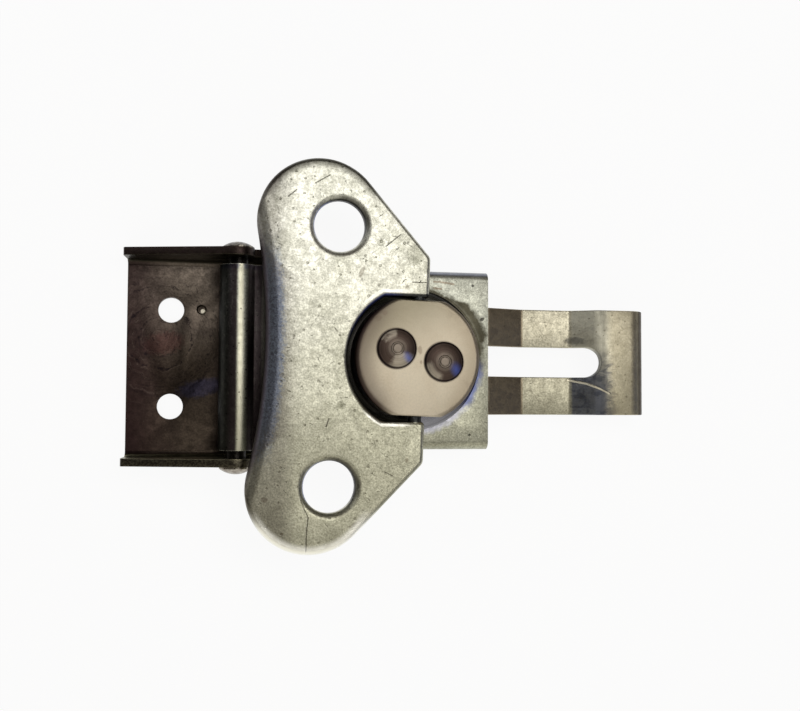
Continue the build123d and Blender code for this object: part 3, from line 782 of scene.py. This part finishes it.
def rivetFinish(name, look):
    material, tree, shader, place = startFinish(name + "_steel")
    centre = middleOf(name)
    rings = useGroup(tree, turnedRings, place=place, centre=centre, pitch=0.3)
    radius = rings["Radius"]
    xAway, yAway = offsetFrom(tree, place, centre)
    direction = calc(tree, "ARCTAN2", yAway, xAway)
    uneven = times(tree, minus(tree, noise(tree, place, 1.2, 4.0, 0.6), 0.5), 0.5)
    # painted highlights, at the centre nipple and in sectors, over a dark tone of painted shade
    shine = fade(tree, radius, 2.4, 0.6, 0.0, 0.4)
    for angle, width, fromRadius in look["shines"][name]:
        turn = calc(tree, "COSINE", minus(tree, direction, math.radians(angle)))
        sector = fade(tree, calc(tree, "ADD", turn, uneven), math.cos(math.radians(width)) - 0.12, 1.0)
        sector = times(tree, sector, fade(tree, radius, fromRadius - 0.3, fromRadius + 1.1))
        shine = calc(tree, "MAXIMUM", shine, sector)
    colour = tint(tree, look["dark"], shine, 0.9, look["bright"])
    colour = mixTone(tree, 1.0, colour, fade(tree, rings["Rings"], 0.3, 0.7, 0.75, 1.2), "MULTIPLY")
    # painted blue reflection on the head
    x, y, *shape = look["blueSpot"][name]
    blue = spotAt(tree, place, (centre[0] + x, centre[1] + y, *shape), 0.12, -0.3)
    colour = tint(tree, colour, times(tree, blue, inZone(tree, place, look["headZone"])), *look["blue"])
    # painted shade at the head's rim
    toRim = minus(tree, radius, look["headRadius"])
    colour = tint(tree, colour, fade(tree, toRim, -0.5, -0.15), *look["rim"])
    colour = wearEdgesShadeCreases(tree, colour, place, look)
    rough = fade(tree, rings["Rings"], 0.3, 0.7, 0.38, 0.5)
    endFinish(tree, shader, colour, rough, rings["Rings"], 0.03)
    return material


# Spring washer: smooth dark steel, burnished in rings, with a painted violet reflection and a painted pale
# highlight low on the right
washerLook = {
    "steel": tone(48, 46, 38),
    "lowRight": [("Y", 2.0, -6.0), ("X", 46.0, 50.0)],
    "violet": tone(84, 90, 132),
    "lowest": [("Y", -7.5, -10.0), ("X", 45.0, 48.0)],
    "pale": tone(150, 151, 160),
    "bright": tone(96, 96, 100),
    "edgeReach": 0.2,
    "creaseShading": (0.5, tone(40, 38, 40)),
}


def washerFinish(look):
    material, tree, shader, place = startFinish("washer_steel")
    rings = useGroup(tree, turnedRings, place=place, centre=rotorCentre, pitch=0.6)["Rings"]
    # painted violet reflection low on the right, painted pale highlight lowest
    steel = mixTone(tree, inZone(tree, place, look["lowRight"]), look["steel"], look["violet"])
    steel = mixTone(tree, inZone(tree, place, look["lowest"]), steel, look["pale"])
    colour = mixTone(tree, fade(tree, rings, 0.4, 0.65, 0.0, 0.4), steel, look["bright"])
    colour = wearEdgesShadeCreases(tree, colour, place, look)
    endFinish(tree, shader, colour, fade(tree, rings, 0.3, 0.7, 0.2, 0.32), rings, 0.01)
    return material


# Cam and retainer: plain rolled steel inside the body
camLook = {
    "steel": tone(120, 114, 104),
    "oil": tone(66, 58, 48),
    "scratch": (0.5, tone(176, 170, 158)),
    "edgeReach": 0.35,
    "rub": (0.6, tone(188, 182, 168)),
    "creaseShading": (0.6, tone(24, 22, 20)),
}


def camFinish(look):
    material, tree, shader, place = startFinish("cam_steel")
    patches = fade(tree, noise(tree, place, 5.0, 5.0, 0.65, 0.4), 0.4, 0.65)
    colour = mixTone(tree, patches, look["steel"], look["oil"])
    scratches = useGroup(tree, shortScratches, place=place, spacing=3.5, length=2.2, width=0.07, amount=0.6)
    colour = tint(tree, colour, scratches["Mask"], *look["scratch"])
    colour = wearEdgesShadeCreases(tree, colour, place, look)
    rough = fade(tree, noise(tree, place, 1.0, 4.0, 0.6), 0.3, 0.7, 0.3, 0.46)
    endFinish(tree, shader, colour, rough, noise(tree, place, 0.5, 4.0, 0.6), 0.02)
    return material


# Draw hook: plated strip, painted lighter towards +y, with painted shade on its two slopes, its bends and its
# bent end, a painted highlight on its crest, and painted shade in streaks low on its rise
hookLook = {
    "pale": (tone(176, 172, 150), tone(206, 200, 178)),
    "shade": (tone(146, 142, 122), tone(164, 158, 136)),
    "plating": {"patch": 4.0, "mottle": 0.7, "scratches": 0.6},
    "paintedLightZone": [("Y", -11.0, 9.0)],
    "crestZone": [("X", 86.5, 90.0)],
    "crest": (0.5, tone(190, 179, 150)),
    "dropZone": [("X", 71.5, 71.1)],
    "drop": (0.85, tone(134, 121, 100)),
    "riseZone": [("X", 81.6, 82.2), ("X", 90.8, 86.6)],
    "risePale": [("Y", -3.0, 5.0)],
    "riseTones": (tone(76, 82, 98), tone(186, 184, 168)),
    "bendX": 87.3,
    "bendPale": [("Y", -6.5, 1.0)],
    "bendTones": (tone(92, 94, 100), tone(146, 143, 130)),
    "endZone": [("X", 95.4, 96.2)],
    "end": (0.95, tone(58, 48, 37)),
    "pit": (0.5, tone(92, 86, 68)),
    "shadeStreakZone": [("X", 81.0, 82.0), ("X", 92.0, 89.0)],
    "shadeStreak": (0.55, tone(52, 56, 68)),
    "creaseLine": [(81.1, -3.6), (84.7, -4.4), (89.2, -6.4)],
    "creaseLit": (0.8, tone(232, 224, 200)),
    "shadePatchSpot": (82.5, 4.5, 2.3, 1.0, 0),
    "shadePatch": (0.55, tone(46, 48, 58)),
    "edgeReach": 0.35,
    "rub": (0.5, tone(226, 218, 196)),
    "creaseShading": (0.7, tone(34, 32, 30)),
}


def hookFinish(look):
    material, tree, shader, place = startFinish("hook_steel")
    xPart, yPart = along(tree, place, "X"), along(tree, place, "Y")
    # painted light: the plating is paler towards +y
    colour, rough, height = plateZinc(tree, place, look, inZone(tree, place, look["paintedLightZone"]))
    # painted highlight on the crest, painted shade on the drop, on the rise painted shade below and painted
    # light above, painted shade on the bend and the bent end
    colour = tint(tree, colour, inZone(tree, place, look["crestZone"]), *look["crest"])
    colour = tint(tree, colour, inZone(tree, place, look["dropZone"]), *look["drop"])
    riseTone = mixTone(tree, inZone(tree, place, look["risePale"]), *look["riseTones"])
    colour = tint(tree, colour, inZone(tree, place, look["riseZone"]), 0.8, riseTone)
    bend = fade(tree, unsigned(tree, minus(tree, xPart, look["bendX"])), 1.8, 0.6)
    bend = times(tree, bend, fade(tree, yPart, 4.0, -1.0, 0.6, 1.0))
    bendTone = mixTone(tree, inZone(tree, place, look["bendPale"]), *look["bendTones"])
    colour = tint(tree, colour, bend, 0.75, bendTone)
    rough = calc(tree, "MULTIPLY_ADD", bend, 0.2, rough)
    bentEnd = inZone(tree, place, look["endZone"])
    colour = tint(tree, colour, bentEnd, *look["end"])

    pits = useGroup(tree, roundMarks, place=place, spacing=1.5, size=0.24, amount=0.4)["Mask"]
    colour = tint(tree, colour, pits, *look["pit"])
    # painted shade in dark bluish streaks low on the rise
    shadeStreaks = noise(tree, vectorCalc(tree, "MULTIPLY", place, (0.5, 1.0, 1.0)), 1.3, 5.0, 0.65, 0.8)
    shadeStreaks = times(tree, fade(tree, shadeStreaks, 0.45, 0.6), fade(tree, yPart, 3.0, -1.0, 0.2, 1.0),
                   inZone(tree, place, look["shadeStreakZone"]))
    colour = tint(tree, colour, shadeStreaks, *look["shadeStreak"])
    # a raised lip along the crease: bumped up, and painted with a highlight
    creaseShading = lineAt(tree, place, look["creaseLine"], 0.3, 0.15)
    colour = tint(tree, colour, creaseShading, *look["creaseLit"])
    height = calc(tree, "MULTIPLY_ADD", creaseShading, 4.0, height)
    # painted shade in a patch above the slot
    colour = tint(tree, colour, spotAt(tree, place, look["shadePatchSpot"], 0.7), *look["shadePatch"])
    level = times(tree, minus(tree, 1.0, bentEnd), minus(tree, 1.0, bend))
    colour = wearEdgesShadeCreases(tree, colour, place, look, level)
    endFinish(tree, shader, colour, rough, height, 0.03)
    return material


# Rounded edges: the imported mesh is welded, its flats joined, its sharp edges rounded off
def makeCleaner():
    tree = bpy.data.node_groups.new("smoothByAngle", "GeometryNodeTree")
    tree.interface.new_socket("Geometry", in_out="INPUT", socket_type="NodeSocketGeometry")
    tree.interface.new_socket("Geometry", in_out="OUTPUT", socket_type="NodeSocketGeometry")
    given, result = tree.nodes.new("NodeGroupInput"), tree.nodes.new("NodeGroupOutput")
    faces = makeNode(tree, "GeometryNodeSetShadeSmooth", {"Geometry": given.outputs[0]}, domain="FACE")
    angle = makeNode(tree, "GeometryNodeInputMeshEdgeAngle").outputs["Unsigned Angle"]
    inputs = {"A": angle, "B": math.radians(38)}
    sharp = makeNode(tree, "FunctionNodeCompare", inputs, operation="GREATER_THAN").outputs[0]
    inputs = {"Geometry": faces.outputs[0], "Selection": sharp}
    edges = makeNode(tree, "GeometryNodeSetShadeSmooth", inputs, domain="EDGE")
    edges.inputs["Shade Smooth"].default_value = False
    tree.links.new(edges.outputs[0], result.inputs[0])
    return tree


smoothByAngle = makeCleaner()
edgeRounds = {
    "base_bracket": 0.18, "latch_body": 0.16, "spring_washer": 0.06, "hub_base": 0.15, "draw_cam": 0.15,
    "cam_retainer": 0.12, "draw_hook": 0.2,
    "hinge_pin": 0.0, "hub_cap": 0.0, "hub_rivet_left": 0.0, "hub_rivet_right": 0.0, "wing_handle": 0.0,
}


def roundEdges(name, radius):
    piece = nodes[name]
    weld = piece.modifiers.new("weld", "WELD")
    weld.merge_threshold = 0.001 * mm
    if radius:
        join = piece.modifiers.new("joinFlats", "DECIMATE")
        join.decimate_type = "DISSOLVE"
        join.angle_limit = math.radians(0.3)
        bevel = piece.modifiers.new("roundEdges", "BEVEL")
        bevel.width = radius * mm
        bevel.segments = 3
        bevel.limit_method = "ANGLE"
        bevel.angle_limit = math.radians(40)
        bevel.use_clamp_overlap = True
    smooth = piece.modifiers.new("smooth", "NODES")
    smooth.node_group = smoothByAngle


nodes = frame["nodes"]
for name, radius in edgeRounds.items():
    roundEdges(name, radius)
print("edges rounded")

finishes = {
    "base_bracket": bracketFinish(bracketLook),
    "hinge_pin": pinFinish(pinLook),
    "latch_body": bodyFinish(bodyLook),
    "spring_washer": washerFinish(washerLook),
    "hub_rivet_left": rivetFinish("hub_rivet_left", rivetLook),
    "hub_rivet_right": rivetFinish("hub_rivet_right", rivetLook),
    "wing_handle": handleFinish(handleLook),
    "draw_hook": hookFinish(hookLook),
}
finishes["hub_base"] = finishes["hub_cap"] = hubFinish(hubLook)
finishes["draw_cam"] = finishes["cam_retainer"] = camFinish(camLook)
for name, finish in finishes.items():
    nodes[name].data.materials.clear()
    nodes[name].data.materials.append(finish)
print("finishes given")


# Floor: pale, with the latch's soft shadow
floorLook = {"half": 900.0, "white": tone(252, 252, 252), "plain": 0.92}


def makeFloor(look):
    half = look["half"] * mm
    mesh = bpy.data.meshes.new("floor")
    corners = [(-half, -half, 0), (half, -half, 0), (half, half, 0), (-half, half, 0)]
    mesh.from_pydata(corners, [], [(0, 1, 2, 3)])
    floor = bpy.data.objects.new("floor", mesh)
    floor.location = ((cadLow.x + cadHigh.x) / 2, 0, cadLow.z - 0.02 * mm)
    bpy.context.scene.collection.objects.link(floor)
    material = bpy.data.materials.new("pale_floor")
    material.use_nodes = True
    tree = material.node_tree
    shader = tree.nodes["Principled BSDF"]
    shader.inputs["Base Color"].default_value = look["white"]
    shader.inputs["Roughness"].default_value = 0.9
    shader.inputs["Specular IOR Level"].default_value = 0.0
    glow = makeNode(tree, "ShaderNodeEmission", {"Color": (1, 1, 1, 1), "Strength": 1.0})
    path = makeNode(tree, "ShaderNodeLightPath").outputs
    seen = calc(tree, "MAXIMUM", path["Is Glossy Ray"], path["Is Transmission Ray"])
    seen = calc(tree, "MAXIMUM", path["Is Camera Ray"], seen)
    blend = makeNode(tree, "ShaderNodeMixShader", {"Fac": times(tree, seen, look["plain"])})
    tree.links.new(shader.outputs[0], blend.inputs[1])
    tree.links.new(glow.outputs[0], blend.inputs[2])
    tree.links.new(blend.outputs[0], tree.nodes["Material Output"].inputs["Surface"])
    mesh.materials.append(material)


# World: pale at the horizon, dim above, lighter to the front and a little blue to the right
worldLook = {
    "horizon": tone(226, 226, 226),
    "above": tone(86, 80, 74),
    "front": tone(246, 243, 234),
    "cool": tone(84, 88, 112),
}


def makeWorld(look):
    world = bpy.data.worlds.new("studio")
    bpy.context.scene.world = world
    world.use_nodes = True
    tree = world.node_tree
    direction = makeNode(tree, "ShaderNodeTexCoord").outputs["Generated"]
    parts = makeNode(tree, "ShaderNodeSeparateXYZ", {"Vector": direction}).outputs
    sky = mixTone(tree, fade(tree, parts["Y"], -0.15, -0.5), look["above"], look["front"])
    right = times(tree, fade(tree, parts["X"], 0.45, 0.8), fade(tree, parts["Y"], 0.3, 0.0))
    sky = mixTone(tree, right, sky, look["cool"])
    sky = mixTone(tree, fade(tree, parts["Z"], 0.12, 0.04), sky, look["horizon"])
    tree.links.new(sky, tree.nodes["Background"].inputs["Color"])


# Lamps: one large soft panel over the right, a small one from the left for the edges
lamps = {
    "keyPanel": {"place": (112, 90, 420), "target": (40, 0, 8), "size": (330, 240), "watts": 0.64,
                 "colour": (1.0, 0.99, 0.97)},
    "edgePanel": {"place": (-260, 160, 260), "target": (20, 0, 8), "size": (80, 260), "watts": 0.12,
                  "colour": (0.92, 0.95, 1.0)},
}


def makeLamp(name, look):
    data = bpy.data.lights.new(name, "AREA")
    data.shape = "RECTANGLE"
    data.size, data.size_y = (side * mm for side in look["size"])
    data.energy = look["watts"]
    data.color = look["colour"]
    lamp = bpy.data.objects.new(name, data)
    place, target = Vector(look["place"]) * mm, Vector(look["target"]) * mm
    lamp.location = place
    lamp.rotation_euler = (target - place).to_track_quat("-Z", "Y").to_euler()
    bpy.context.scene.collection.objects.link(lamp)


# Camera: above the latch, a little towards its base bracket, as the photo was taken
cameraLook = {"place": (3.42, -8.37, 207.72), "tilt": (2.65, -11.70, 0.83), "lens": 46.0, "sensor": 36.0}


def makeCamera(look):
    data = bpy.data.cameras.new("camera")
    data.sensor_width = look["sensor"]
    data.lens = look["lens"]
    data.clip_start, data.clip_end = 0.01, 10.0
    camera = bpy.data.objects.new("camera", data)
    camera.rotation_mode = "ZYX"
    camera.rotation_euler = [math.radians(angle) for angle in look["tilt"]]
    camera.location = Vector(look["place"]) * mm
    bpy.context.scene.collection.objects.link(camera)
    bpy.context.scene.camera = camera


makeFloor(floorLook)
makeWorld(worldLook)
for name, look in lamps.items():
    makeLamp(name, look)
makeCamera(cameraLook)
bpy.context.scene.view_settings.view_transform = "Standard"
print("floor, lights and camera set")
